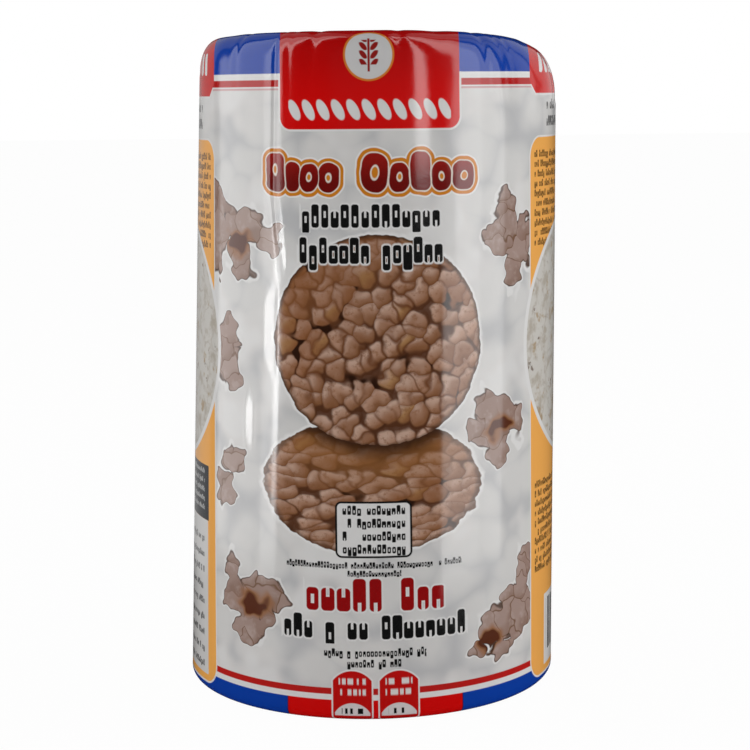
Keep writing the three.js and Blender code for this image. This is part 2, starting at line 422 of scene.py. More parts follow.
def strip_piece(name, lower, upper, upper_print, material):
    """A thin closed strip between two grids of points, rows by columns."""
    rows, columns = upper.shape[:2]
    above = rows * columns
    points = np.concatenate([lower.reshape(-1, 3), upper.reshape(-1, 3)])
    print_at = np.concatenate([upper_print.reshape(-1, 2)] * 2)
    at = np.arange(above).reshape(rows, columns)
    quads = np.stack([at[:-1, :-1], at[:-1, 1:], at[1:, 1:], at[1:, :-1]], axis=-1).reshape(-1, 4)
    sheets = np.stack([above + quads, quads[:, [0, 3, 2, 1]]], axis=1).reshape(-1, 4)
    edge = np.concatenate([at[0, :], at[1:, -1], at[-1, -2::-1], at[-2:0:-1, 0]])
    following = np.roll(edge, -1)
    rim = np.stack([edge, following, above + following, above + edge], axis=1)
    faces = np.concatenate([sheets, rim])
    make_piece(name, points, faces.tolist(), print_at[faces].reshape(-1, 2), material)


# Seals: how long and wide, how far they stand out and reach into the film, and their crimping
TOP_SEAL_LENGTH = 74.0
BASE_SEAL_LENGTH = 54.0
SEAL_WIDTH = 12.0
SEAL_FROM_MIDDLE = 7.5
SEAL_PROUD = 0.45
SEAL_SUNK = 0.4
SEAL_EDGE = 0.06
SEAL_ROWS = 22
TOP_EDGE_UP = 174.0
BASE_EDGE_UP = -17.0
RIDGE_PITCH = 1.5
RIDGE_HEIGHT = 0.28
RIDGE_COLUMNS = 6
ZIGZAG_PITCH = 2.4
ZIGZAG_DEPTH = 0.7
RIPPLE_HEIGHT = 0.12
RIPPLE_LENGTH = 9.0
FIN_ANGLE = math.radians(123)
FIN_WIDTH = 11.0
FIN_PROUD = 0.55
FIN_SUNK = 0.9
FIN_BOTTOM = 5.0
FIN_TOP = 148.0
FIN_COLUMNS = 26
FIN_ROWS = 150
FIN_LIP = 0.65
FIN_WAVE = 0.14
FIN_WAVE_LENGTH = 6.5
FIN_SLOW_WAVE = 17.0
PRESS_PITCH = 2.2
PRESS_DEPTH = RIDGE_HEIGHT * 0.175


def end_seal(name, length, height_at, outwards, centre_x, edge_radius, edge_up, material):
    """A crimped seal that lies flat on a folded end, with a zigzag cut edge."""
    columns = int(length / RIDGE_PITCH) * RIDGE_COLUMNS + 1
    x, share = np.meshgrid(np.linspace(-length / 2, length / 2, columns), np.linspace(-0.5, 0.5, SEAL_ROWS))
    zigzag = ZIGZAG_DEPTH * np.abs((x / ZIGZAG_PITCH) % 1 - 0.5) * smoothstep(share, 0.3, 0.5)
    y = SEAL_FROM_MIDDLE + SEAL_WIDTH * share - zigzag
    level = height_at(np.arctan2(x, -y), np.hypot(x, y))
    ripple = RIPPLE_HEIGHT * np.sin(x / RIPPLE_LENGTH + 1.0) * smoothstep(share, -0.3, 0.5)
    crimped = smoothstep(np.abs(share), 0.5, 0.42)
    taper = smoothstep(length / 2 - np.abs(x), -1, 9)
    ridge = RIDGE_HEIGHT * (0.5 + 0.5 * np.sin(2 * math.pi * x / RIDGE_PITCH)) * crimped
    thickness = SEAL_EDGE + (SEAL_PROUD + ridge + ripple) * taper
    inner = np.stack([centre_x + x, y, level - outwards * SEAL_SUNK], axis=-1)
    outer = np.stack([centre_x + x, y, level + outwards * thickness], axis=-1)
    along = straight_print(x, -np.abs(y))
    print_at = np.stack([along, edge_up + outwards * (edge_radius + SEAL_WIDTH * share)], axis=-1)
    lower, upper = (inner, outer) if outwards > 0 else (outer, inner)
    strip_piece(name, lower, upper, print_at, material)


def long_seal(material):
    """The seal down the back: a flat strip that follows the wall, slightly wavy at its free edge."""
    across = np.linspace(-1, 1, FIN_COLUMNS)
    share, height = np.meshgrid(across, np.linspace(FIN_BOTTOM, FIN_TOP, FIN_ROWS))
    angle = FIN_ANGLE + FIN_WIDTH / 2 / FILM_RADIUS * share
    waves = np.sin(height / FIN_WAVE_LENGTH) * np.cos(height / FIN_SLOW_WAVE)
    wave = FIN_WAVE * waves * smoothstep(share, -0.6, 1)
    press = PRESS_DEPTH * np.sin(2 * math.pi * height / PRESS_PITCH) * smoothstep(-np.abs(share), -0.9, -0.7)
    lip = 1 - FIN_LIP + FIN_LIP * smoothstep(np.abs(share), 1, 0.86)
    outer = place(angle, wall_radius(height) + FIN_PROUD * lip + wave + press, height)
    inner = place(angle, wall_radius(height) - FIN_SUNK, height)
    print_at = np.stack([FILM_RADIUS * angle, height], axis=-1)
    strip_piece("long_back_seal", inner, outer, print_at, material)


# Print: numbers and shapes worked out by nodes, in millimetres along the film and up it


class Field:
    """A value that varies over the film: a number or a vector, made by a node."""

    def __init__(self, socket):
        self.socket = socket
        self.tree = socket.id_data

    def __add__(self, other):
        return calc("ADD", self, other)

    def __sub__(self, other):
        return calc("SUBTRACT", self, other)

    def __rsub__(self, other):
        return calc("SUBTRACT", other, self)

    def __mul__(self, other):
        return calc("MULTIPLY", self, other)

    def __gt__(self, other):
        return calc("GREATER_THAN", self, other)

    def __lt__(self, other):
        return calc("LESS_THAN", self, other)

    def __abs__(self):
        return calc("ABSOLUTE", self)

    __radd__ = __add__
    __rmul__ = __mul__


def add_node(kind, inputs, **settings):
    """A node with settings, and fields or plain numbers at its inputs."""
    tree = next(value.tree for value in inputs.values() if isinstance(value, Field))
    node = tree.nodes.new("ShaderNode" + kind)
    for name, setting in settings.items():
        setattr(node, name, setting)
    for key, value in inputs.items():
        if isinstance(value, Field):
            tree.links.new(value.socket, node.inputs[key])
        else:
            node.inputs[key].default_value = value
    return node


def calc(operation, *values, clamp=False):
    node = add_node("Math", dict(enumerate(values)), operation=operation, use_clamp=clamp)
    return Field(node.outputs[0])


def vector(operation, *values):
    node = add_node("VectorMath", dict(enumerate(values)), operation=operation)
    scalar = operation in ("LENGTH", "DOT_PRODUCT")
    return Field(node.outputs["Value" if scalar else "Vector"])


def split(point):
    return [Field(output) for output in add_node("SeparateXYZ", {0: point}).outputs]


def joined(x, y, z=0):
    return Field(add_node("CombineXYZ", {0: x, 1: y, 2: z}).outputs[0])


def noise(point, size, detail, roughness, seed):
    """Noise from 0 to 1 with blobs of about the given size, and a colour that holds three of them."""
    shifted = vector("ADD", point, (seed * 37, seed * 11, seed * 5))
    inputs = {"Vector": shifted, "Scale": 1 / size, "Detail": detail, "Roughness": roughness}
    node = add_node("TexNoise", inputs, noise_dimensions="3D")
    return Field(node.outputs[0]), Field(node.outputs[1])


def pushed(point, drift, across, up):
    """A point moved across and up by shares of a drift, such as a noise's colour."""
    return vector("ADD", point, vector("MULTIPLY", drift, (across, up, 0)))


def cell_node(point, size, randomness, feature):
    inputs = {"Vector": point, "Scale": 1 / size, "Randomness": randomness}
    return add_node("TexVoronoi", inputs, voronoi_dimensions="2D", feature=feature)


def cells(point, size, randomness=1):
    """The cell that a point lies in: how far its middle is, a random colour and where it is."""
    node = cell_node(point, size, randomness, "F1")
    return [Field(node.outputs[name]) for name in ("Distance", "Color", "Position")]


def cell_border(point, size, randomness=1):
    """How far a point is from the border of its cell."""
    return Field(cell_node(point, size, randomness, "DISTANCE_TO_EDGE").outputs["Distance"])


def lit_share(point, middle, size):
    """How far a point lies towards the upper left of its cell."""
    return vector("DOT_PRODUCT", vector("SUBTRACT", point, middle), (-0.5 / size, 0.85 / size, 0))


def chance(number, seed):
    """Three random numbers for each whole number."""
    node = add_node("TexWhiteNoise", {"W": number + seed * 131}, noise_dimensions="1D")
    return split(Field(node.outputs["Color"]))


def ramp(value, low, high, to_low=0, to_high=1):
    """A value eased from one range into another."""
    inputs = {"Value": value, "From Min": low, "From Max": high, "To Min": to_low, "To Max": to_high}
    node = add_node("MapRange", inputs, interpolation_type="SMOOTHSTEP")
    return Field(node.outputs["Result"])


def blend(low, high, share):
    """A colour between two colours, each a field or plain numbers."""
    low, high = (value if isinstance(value, Field) else (*value, 1) for value in (low, high))
    return Field(add_node("Mix", {0: share, 6: low, 7: high}, data_type="RGBA").outputs[2])


# Distances to shapes: below zero inside

SOFTNESS = 0.09


def inside(distance, softness=SOFTNESS):
    return calc("MULTIPLY_ADD", distance, -0.5 / softness, 0.5, clamp=True)


def both(*distances):
    return reduce(lambda one, other: calc("MAXIMUM", one, other), distances)


def either(*distances):
    return reduce(lambda one, other: calc("MINIMUM", one, other), distances)


def ellipse(point, x, y, half_width, half_height, turn=0):
    size = (half_width, half_height, 1)
    inputs = {"Vector": point, "Location": (x, y, 0), "Rotation": (0, 0, turn), "Scale": size}
    node = add_node("Mapping", inputs, vector_type="TEXTURE")
    reach = min(half_width, half_height)
    return calc("MULTIPLY_ADD", vector("LENGTH", Field(node.outputs[0])), reach, -reach)


def ellipses(point, rows):
    return either(*(ellipse(point, *row) for row in rows))


def rounded_box(point, left, right, low, high, corner=0.3):
    centre = ((left + right) / 2, (low + high) / 2, 0)
    half = ((right - left) / 2 - corner, (high - low) / 2 - corner, 0)
    away = vector("ABSOLUTE", vector("SUBTRACT", point, centre))
    beyond = vector("MAXIMUM", vector("SUBTRACT", away, half), (0, 0, 0))
    return vector("LENGTH", beyond) - corner


# Blocks that stand for letters, in shares of their pitch across and of their height up.
# Each block draws three numbers: past these, it is tall, reaches down, or is a gap between words.
LETTER_BODY = 0.7
LETTER_CORNER = 0.26
LETTER_HALF = 0.36
ASCENDER = 0.3
DESCENDER = 0.26
TALL_OVER = 0.66
DEEP_UNDER = 0.14
GAP_OVER = 0.9
OPENING_HALF = (0.11, 0.14)
OPENING_LOW = 0.13
OPENING_STEP = 0.22


def rows_by_height(v, low, high, rows):
    """For the row at a height, the four numbers that its entry holds after the height it starts at."""
    node = add_node("ValToRGB", {0: (v - low) * (1 / (high - low))})
    stops = node.color_ramp.elements
    node.color_ramp.interpolation = "CONSTANT"
    while len(stops) > 1:
        stops.remove(stops[-1])
    for i, (start, *numbers) in enumerate(rows):
        position = (start - low) / (high - low)
        stop = stops[0] if i == 0 else stops.new(position)
        stop.position = position
        stop.color = numbers
    return [*split(Field(node.outputs["Color"])), Field(node.outputs["Alpha"])]


def writing(u, v, half_width, height, pitch, base, seed):
    """Rows of upright blocks with small openings, which stand for lines of writing."""
    across = calc("DIVIDE", u + half_width, pitch)
    cell = calc("FLOOR", across)
    tall, wide, form = chance(cell + base * 7, seed)
    local = abs(across - cell - 0.5)
    up = calc("DIVIDE", v - base, height)
    top = calc("MULTIPLY_ADD", tall > TALL_OVER, ASCENDER, LETTER_BODY)
    bottom = (tall < DEEP_UNDER) * -DESCENDER
    reach = (wide > GAP_OVER) * -0.9 + (wide * 0.1 + LETTER_HALF)
    opening_at = calc("MULTIPLY_ADD", calc("FLOOR", form * 3), OPENING_STEP, OPENING_LOW)
    opening = both(local - OPENING_HALF[0], abs(up - opening_at) - OPENING_HALF[1])
    corner = pitch * LETTER_CORNER
    rise = abs(up - (top + bottom) * 0.5) - (top - bottom) * 0.5
    beyond = joined((local - reach) * pitch + corner, rise * height + corner)
    block = vector("LENGTH", vector("MAXIMUM", beyond, (0, 0, 0))) - corner
    block = both(block, opening * (height * -1))
    return both(block, abs(u) - half_width)


class Print:
    """The print as it is laid down: each field of colour over what is there already."""

    def __init__(self, colour):
        self.colour = colour

    def paint(self, colour, share):
        self.colour = blend(self.colour, colour, share)

    def fill(self, colour, distance, softness=SOFTNESS):
        self.paint(colour, inside(distance, softness))


# Colours of the inks, linear
OFF_WHITE = (0.725, 0.715, 0.7)
WHITE = (0.82, 0.81, 0.8)
BORDER_WHITE = (0.88, 0.87, 0.86)
PAPER_WHITE = (0.8, 0.79, 0.78)
BLUE = (0.003, 0.052, 0.4)
RED = (0.72, 0.0012, 0.001)
DARK_RED = (0.52, 0.001, 0.001)
THIN_RED = (0.5, 0.01, 0.01)
LOW_LINE_RED = (0.54, 0.014, 0.012)
ROW_RED = (0.33, 0.003, 0.004)
TITLE_RED = (0.17, 0.004, 0.003)
TITLE_BRIGHT = (0.34, 0.01, 0.006)
TITLE_INLINE = (0.84, 0.76, 0.68)
ORANGE = (0.66, 0.22, 0.012)
PANEL_ORANGE = (0.96, 0.455, 0.105)
BLACK = (0.008, 0.008, 0.008)
PINK = (0.62, 0.26, 0.27)
TABLE_GREY = (0.026, 0.028, 0.034)
TABLE_WHITE = (0.72, 0.71, 0.7)
TABLE_LETTERS = (0.55, 0.55, 0.55)

# Layout of the print, millimetres from the middle of the front and up from the base
REPEAT = FILM_TURN / 2
PRINT_TWIST = -0.022
TWIST_START = 0.9
TWIST_HEIGHT = 8.0
LEFT_EDGE_LEAN = 0.012
RIM_WIDTH = 0.5

GROUND_GREY = (0.5, 0.505, 0.52)
GROUND_WARM = (0.7, 0.645, 0.61)
GROUND_LIGHT = (0.81, 0.805, 0.795)


def paint_ground(ink, point):
    """Puffed cakes so far out of focus that only soft grey blocks are left."""
    clouds, drift = noise(point, 17, 2, 0.5, seed=1)
    spot = cells(vector("MULTIPLY", pushed(point, drift, 13, 10), (1, 1.25, 0)), 11.5)[0]
    ink.paint(GROUND_GREY, ramp(spot, 0.25, 0.8, 0, 0.7))
    ink.paint(GROUND_WARM, ramp(split(drift)[0], 0.48, 0.62, 0, 0.55))
    ink.paint(GROUND_LIGHT, ramp(clouds, 0.46, 0.66, 0, 0.85))


# Popped maize pictures, made of ellipses: middle, half-width, half-height and any lean
POPPED = (
    (-45.2, 121.1, 4.4, 12.0),
    (-33.0, 120.4, 9.4, 4.7, -0.35),
    (-35.6, 113.4, 4.2, 6.6, 0.1),
    (37.4, 123.6, 3.6, 5.8, 0.1),
    (37.0, 117.6, 8.2, 5.0, -0.1),
    (44.6, 117.6, 3.4, 6.6),
    (39.8, 109.6, 3.5, 5.8, 0.2),
    (-40.4, 94.0, 4.0, 4.8),
    (-41.0, 85.6, 4.7, 6.0, 0.1),
    (-39.6, 62.4, 4.2, 3.9, 0.3),
    (-42.2, 55.2, 4.4, 5.0),
    (32.4, 76.0, 6.6, 4.8, 0.1),
    (30.8, 69.7, 7.0, 3.8, -0.2),
    (36.4, 70.6, 5.0, 4.6),
    (33.4, 65.2, 3.6, 4.4, 0.25),
    (41.0, 71.8, 3.0, 5.4),
    (-39.4, 34.6, 3.6, 3.9, -0.1),
    (-37.2, 28.0, 6.6, 5.0, -0.3),
    (-32.0, 30.0, 5.2, 5.0),
    (-33.8, 21.6, 4.2, 6.0, 0.35),
    (-27.6, 23.6, 2.9, 4.6, -0.3),
    (-25.4, 29.0, 2.9, 5.0, 0.15),
    (43.4, 34.2, 3.8, 5.8),
    (40.8, 23.4, 6.0, 7.6, 0.15),
    (31.8, 21.4, 6.0, 4.8, -0.6),
    (26.8, 15.2, 3.0, 1.9, 0.6),
    (34.2, 14.6, 4.6, 2.6, -0.1),
)
POPPED_HEARTS = (
    (-36.2, 117.0, 3.4, 2.6, -0.3),
    (34.8, 71.0, 3.5, 1.9, 0.25),
    (-32.4, 27.2, 4.4, 2.5, -0.1),
    (30.6, 17.6, 3.2, 2.0, 0.4),
)
LOBE_SIZE = 6.2
LOBE_DEPTH = 3.2
MAIZE_DULL = (0.34, 0.225, 0.185)
MAIZE_PINK = (0.42, 0.305, 0.265)
MAIZE_SHADE = (0.26, 0.155, 0.115)
MAIZE_LIGHT = (0.54, 0.43, 0.39)
MAIZE_FOLD = (0.17, 0.08, 0.036)
HEART_RIM = (0.33, 0.135, 0.045)
HEART_BROWN = (0.095, 0.022, 0.009)
MAIZE_EDGE = (0.075, 0.042, 0.03)


def paint_popped(ink, point):
    """Pinkish popped maize: lobed shapes with thin dark edges, a white halo and brown hearts."""
    wander = vector("SUBTRACT", noise(point, 5, 1, 0.5, seed=12)[1], (0.5, 0.5, 0.5))
    bent = pushed(point, wander, 7, 7)
    near, colour, middle = cells(bent, LOBE_SIZE)
    lit = lit_share(bent, middle, LOBE_SIZE)
    tone, folded, _ = split(colour)
    fine = noise(point, 3, 2, 0.6, seed=14)[0]
    outline = ellipses(bent, POPPED) + (near - 0.42) * LOBE_DEPTH
    heart = ellipses(bent, POPPED_HEARTS)
    fold = ramp(cell_border(bent, LOBE_SIZE), 0, 0.06, 0.85, 0) * (folded > 0.42)

    body = Print(blend(MAIZE_DULL, MAIZE_PINK, tone))
    body.paint(MAIZE_SHADE, ramp(lit, -0.5, 0, 0.7, 0))
    body.paint(MAIZE_LIGHT, ramp(fine, 0.5, 0.72, 0, 0.45))
    body.paint(MAIZE_FOLD, fold)
    body.paint(HEART_RIM, ramp(heart, 0, 1.7, 0.85, 0))
    body.paint(HEART_BROWN, inside(heart, 0.35) * 0.95)
    body.paint(MAIZE_EDGE, ramp(outline, -0.45, -0.15, 0, 0.85))
    ink.fill(WHITE, outline - 0.55, 0.2)
    ink.fill(body.colour, outline)


# The two cakes, as ellipses, and the colours of their grains
UPPER_CAKE = (1.6, 94.0, 26.8, 25.5)
LOWER_CAKE = (-0.5, 58.5, 28.3, 16.4)
GRAIN_SIZE = 4.2
GRAIN_SCATTER = 0.9
GRAIN_BROWN = (0.33, 0.16, 0.09)
GRAIN_TAN = (0.5, 0.285, 0.19)
GRAIN_GOLD = (0.44, 0.225, 0.075)
GRAIN_LIT = (0.62, 0.425, 0.33)
GRAIN_SHADE = (0.24, 0.095, 0.036)
GRAIN_SPECK = (0.25, 0.105, 0.045)
GRAIN_PATCH = (0.27, 0.1, 0.035)
GRAIN_TOASTED = (0.28, 0.105, 0.036)
GAP_BROWN = (0.15, 0.048, 0.015)
GAP_DARK = (0.09, 0.03, 0.012)
GAP_BLACK = (0.03, 0.01, 0.004)
CAKE_SHADOW = (0.34, 0.135, 0.038)
CAKE_DEEP_SHADOW = (0.035, 0.01, 0.003)
CAKE_EDGE = (0.07, 0.03, 0.016)
CAKE_CONTACT = (0.05, 0.02, 0.01)


def puffed_grains(point, lying):
    """Puffed grains pressed together: rounded, lit from above on the left, with brown gaps."""
    scaled = vector("MULTIPLY", point, joined(1 - lying * 0.25, 1 + lying * 0.35))
    warped = pushed(scaled, noise(scaled, 4.4, 1, 0.45, seed=2)[1], 5, 5)
    near, colour, middle = cells(warped, GRAIN_SIZE, GRAIN_SCATTER)
    border = cell_border(warped, GRAIN_SIZE, GRAIN_SCATTER)
    tone, warm, _ = split(colour)
    lit = lit_share(warped, middle, GRAIN_SIZE)
    patches, drift = noise(point, 9, 2, 0.5, seed=4)
    fine = noise(point, 1.3, 3, 0.65, seed=5)[0]
    deep = ramp(split(drift)[1], 0.36, 0.6, 0.35, 1)
    toasted = vector("DOT_PRODUCT", point, (-0.62, 0.78, 0))

    body = Print(blend(GRAIN_BROWN, GRAIN_TAN, tone))
    body.paint(GRAIN_GOLD, (warm > 0.9) * 0.75)
    body.paint(GRAIN_LIT, ramp(lit, -0.1, 0.4, 0, 0.85))
    body.paint(GRAIN_SHADE, ramp(lit, -0.5, 0.02, 0.85, 0))
    body.paint(GRAIN_SPECK, ramp(fine, 0.48, 0.72, 0, 0.65))
    body.paint(GRAIN_PATCH, ramp(patches, 0.48, 0.7, 0, 0.6))
    body.paint(GAP_BROWN, ramp(border, 0, 0.2, 0.85, 0) * deep * (1 - lying * 0.3))
    body.paint(GAP_DARK, ramp(near, 0.52, 0.74, 0, 0.9))
    body.paint(GRAIN_TOASTED, ramp(toasted, 76, 98, 0, 0.65))
    body.paint(GAP_BLACK, ramp(near, 0.56, 0.7) * ramp(patches, 0.56, 0.62))
    return body


def paint_cakes(ink, point):
    """Two round cakes: one facing the front and one lying behind it."""
    wobble = noise(point, 4.2, 2, 0.5, seed=8)[0] - 0.5
    lower = ellipse(point, *LOWER_CAKE) + wobble * 2.6
    upper = ellipse(point, *UPPER_CAKE) + wobble * 2
    outline = either(lower, upper)
    behind = upper > 0
    body = puffed_grains(point, behind)
    body.paint(CAKE_SHADOW, ramp(upper, 2, 15, 0.7, 0) * behind)
    body.paint(CAKE_DEEP_SHADOW, ramp(upper, 0, 5, 0.9, 0) * behind)
    body.paint(CAKE_EDGE, ramp(outline, -1.3, -0.2, 0, 0.7))
    body.paint(CAKE_CONTACT, inside(abs(upper) - 0.25, 0.4) * 0.7)
    ink.fill(BORDER_WHITE, outline - 0.55, 0.3)
    ink.fill(body.colour, outline)


# Title, two rows of plain blocks: left, right, low, high and corner
TITLE_BLOCKS = (
    (-26.9, -22.2, 130.3, 138.6, 1.5),
    (-21.0, -18.2, 130.3, 136.6, 1.2),
    (-17.2, -13.2, 130.1, 136.2, 1.8),
    (-12.2, -8.0, 130.1, 136.2, 1.8),
    (-1.6, 3.9, 130.1, 138.7, 2.4),
    (5.2, 9.4, 130.1, 136.2, 1.8),
    (10.6, 14.6, 130.3, 138.8, 1.4),
    (15.8, 20.0, 130.1, 136.2, 1.8),
    (21.3, 26.4, 130.1, 136.2, 1.8),
)
TITLE_OPENINGS = (
    (-24.5, 135.0, 0.8, 1.6),
    (-15.2, 133.2, 0.8, 1.2),
    (-10.1, 133.2, 0.8, 1.2),
    (1.2, 134.3, 1.1, 1.9),
    (7.3, 133.2, 0.8, 1.2),
    (17.9, 133.2, 0.8, 1.2),
    (23.9, 133.2, 1.1, 1.2),
)
WOBBLE = 1.1
TITLE_OUTLINES = ((BORDER_WHITE, 1.95), (ORANGE, 1.55))
TITLE_SWELL = 0.42
INLINE_WIDTH = 0.32


def paint_title(ink, point, v):
    """Chunky dark red blocks with an inline, an orange outline and a white border."""
    sag = noise(point, 5, 1, 0.5, seed=17)[1]
    steady = vector("SUBTRACT", point, (WOBBLE / 2, WOBBLE / 2, 0))
    bent = pushed(steady, sag, WOBBLE, WOBBLE)
    shape = either(*(rounded_box(bent, *block) for block in TITLE_BLOCKS))
    letter = both(shape - TITLE_SWELL, ellipses(bent, TITLE_OPENINGS) * -1)
    for colour, out in TITLE_OUTLINES:
        ink.fill(colour, shape - out)
    ink.fill(TITLE_INLINE, letter - INLINE_WIDTH)
    ink.fill(blend(TITLE_RED, TITLE_BRIGHT, ramp(v, 131, 139.5)), letter)


# Rows of writing: the height a row starts at, then half-width, letter height, pitch and base
FRONT_SPAN = (8.0, 130.0)
FRONT_ROWS = (
    (8.0, 6.9, 2.0, 0.95, 13.6),
    (15.6, 12.6, 2.0, 0.95, 16.3),
    (19.0, 23.4, 6.0, 2.75, 20.6),
    (27.0, 17.3, 8.2, 3.9, 27.6),
    (35.9, 6.6, 1.5, 0.75, 36.3),
    (37.9, 22.2, 1.6, 0.75, 38.3),
    (40.8, 7.7, 2.3, 1.2, 42.0),
    (44.6, 7.7, 2.3, 1.2, 45.2),
    (47.8, 7.7, 2.3, 1.2, 48.4),
    (51.0, 7.7, 2.3, 1.2, 51.6),
    (56.0, 18.2, 6.3, 2.6, 112.6),
    (119.6, 17.4, 5.6, 2.5, 121.2),
)

# Letters above this height have a white rim, and the row with this middle and half-height is red
LARGE_LETTERS = 3.0
RED_ROW = (31.5, 4.4)
NOTE_BOX = (-9.4, 9.4, 40.9, 54.9, 1.6)


def paint_front_writing(ink, point, u, v):
    """The front's lines of writing and its boxed note."""
    box = rounded_box(point, *NOTE_BOX)
    ink.fill(BLACK, box)
    ink.fill(PAPER_WHITE, box + 0.5)
    row = rows_by_height(v, *FRONT_SPAN, FRONT_ROWS)
    letters = writing(u, v, *row, seed=3)
    ink.paint(WHITE, inside(letters - 0.4, 0.2) * (row[1] > LARGE_LETTERS))
    red = calc("COMPARE", v, *RED_ROW)
    ink.fill(blend(BLACK, ROW_RED, red), letters)


# Bands at both ends, with the heights that lines start or end at
BAND_LOW = 157.9
WHITE_LINE_LOW = 156.4
RED_LINE_LOW = 154.75
INNER_LINE_LOW = 154.4
PINK_LINE_LOW = 153.95
TAB_HALF = 23.0
TAB_BOTTOM = 144.6
TAB_CORNER = 2.9
LOW_RED_TOP = 8.3
LOW_WHITE_TOP = 6.7
LOW_BAND_TOP = 5.3
LOW_BAND_HALF = 22.2
BAND_GAP = (0.02, 0.01, 0.02)

# The two small tabs over the lower band, mirrored: box, arch, plate and marks
FOOT_RED = (0.58, 0.004, 0.003)
FOOT_MARKS = (0.8, 0.76, 0.74)
FOOT_PLATE = (0.74, 0.7, 0.7)
FOOT_X = 5.7
FOOT_BOX = (0.95, 10.45, -60.0, 12.7, 1.3)
FOOT_ARCH = (FOOT_X, 5.4, 6.3, 7.3)
PLATE_ARCH = (FOOT_X, -1.0, 5.2, 5.6)
PLATE_HALF = 4.3
PLATE_LOW = 1.4
MARKS_LOW = 6.0
MARKS_STEP = 2.7
MARKS_HALF = 3.3
FIGURES_UP = 2.6
FIGURES_HALF = 2.6


def paint_bands(ink, point, u, v):
    """Blue bands and thin lines at both ends, with a red tab in the middle of the front."""
    ink.paint(PINK, inside(PINK_LINE_LOW - v) * 0.7)
    ink.fill(WHITE, INNER_LINE_LOW - v)
    ink.fill(THIN_RED, RED_LINE_LOW - v)
    ink.fill(WHITE, WHITE_LINE_LOW - v)
    ink.fill(BLUE, BAND_LOW - v)
    tab = rounded_box(point, -TAB_HALF, TAB_HALF, TAB_BOTTOM, 400, TAB_CORNER)
    ink.fill(WHITE, both(tab - RIM_WIDTH, v - BAND_LOW))
    ink.fill(blend(RED, DARK_RED, ramp(v, 150, 166)), tab)

    ink.fill(LOW_LINE_RED, v - LOW_RED_TOP)
    ink.fill(WHITE, v - LOW_WHITE_TOP)
    aside = abs(u) - LOW_BAND_HALF
    band = blend(RED, BLUE, aside > 0)
    band = blend(band, BAND_GAP, inside(abs(aside) - 0.15) * 0.8)
    ink.fill(band, v - LOW_BAND_TOP)


def paint_low_tabs(ink, u, v):
    """Two small red tabs with arched tops, side by side over the lower band."""
    local = joined(abs(u), v)
    aside = abs(abs(u) - FOOT_X)
    arch = both(rounded_box(local, *FOOT_BOX), ellipse(local, *FOOT_ARCH))
    ink.fill(WHITE, arch - 0.35)
    ink.fill(FOOT_RED, arch)
    plate = both(ellipse(local, *PLATE_ARCH), aside - PLATE_HALF)
    ink.fill(FOOT_PLATE, both(plate, PLATE_LOW - v))
    line = (v - MARKS_LOW) * (1 / MARKS_STEP)
    row = calc("FLOOR", line)
    marks = chance(calc("FLOOR", u * 2.2) + row * 31, 23)[0] > 0.35
    words = both(abs(calc("FRACT", line) - 0.5) - 0.27, abs(row - 0.5) - 0.6, aside - MARKS_HALF)
    ink.paint(FOOT_MARKS, inside(words) * marks)
    figures = both(abs(v - FIGURES_UP) - 0.7, aside - FIGURES_HALF)
    dots = chance(calc("FLOOR", u * 1.6), 24)[0] > 0.4
    ink.paint(BLACK, inside(figures) * dots)


# Badge with an ear of grain, and the row of grains under it
BADGE = (0.1, 162.1)
BADGE_RADIUS = 5.75
BADGE_RIM = (0.7, 0.22, 0.03)
BADGE_WHITE = (0.66, 0.65, 0.645)
EAR_RED = (0.3, 0.012, 0.01)
LEAF = (1.35, 0.0, 0.62, 1.35, -0.7)
LEAVES_UP = 0.6
LEAVES_HALF = 3.0
STEM_HALF = 4.0
GRAIN_WHITE = (0.78, 0.77, 0.76)
GRAIN_PITCH = 3.8
GRAIN_ROW_HALF = 20.6
GRAIN = (0.0, 149.2, 1.25, 2.7, 0.5)


def paint_badge(ink, point, u, v):
    """A plain badge with an ear of grain, and a row of grains under it."""
    badge = ellipse(point, *BADGE, BADGE_RADIUS, BADGE_RADIUS)
    ink.fill(BADGE_RIM, badge - RIM_WIDTH)
    ink.fill(BADGE_WHITE, badge)
    aside = abs(u - BADGE[0])
    up = v - BADGE[1]
    leaf = ellipse(joined(aside, calc("WRAP", up, 1, -1)), *LEAF)
    stem = both(aside - 0.28, abs(up) - STEM_HALF)
    ear = either(stem, both(leaf, abs(up - LEAVES_UP) - LEAVES_HALF))
    ink.fill(EAR_RED, ear)
    turn = calc("WRAP", u, GRAIN_PITCH / 2, -GRAIN_PITCH / 2)
    grain = both(ellipse(joined(turn, v), *GRAIN), abs(u) - GRAIN_ROW_HALF)
    ink.fill(GRAIN_WHITE, grain)


# Side panels: the orange field, boxes as left, right, low and high, and a round picture
PANEL_EDGE = 47.3
PANEL_BOX = (PANEL_EDGE, 120.0, 2.9, 141.7, 5.0)
SIDE_BOXES = (
    (TABLE_GREY, (-72.4, -51.2, 44.8, 59.0)),
    (TABLE_WHITE, (-72.4, -51.7, 4.6, 44.8)),
    (PAPER_WHITE, (56.0, 72.4, 4.6, 23.5)),
)
CODE_BOX = (57.8, 70.6, 8.0, 22.0)
PICTURE = (0.0, 90.2, 29.3, 29.3)
PICTURE_RIM = 1.4
PUFF_SIZE = 8.5
CREAM = (0.5, 0.45, 0.385)
PALE_CREAM = (0.66, 0.635, 0.59)
CREAM_SHADE = (0.4, 0.33, 0.26)
CREAM_TOASTED = (0.4, 0.27, 0.13)
CREAM_FLECK = (0.16, 0.105, 0.075)


def text_rows(low, high, step, half_width, height, pitch):
    """Rows of small writing, one above the other."""
    count = int((high - low) / step)
    return [(low + step * i, half_width, height, pitch, low + step * i + 0.3 * step) for i in range(count)]


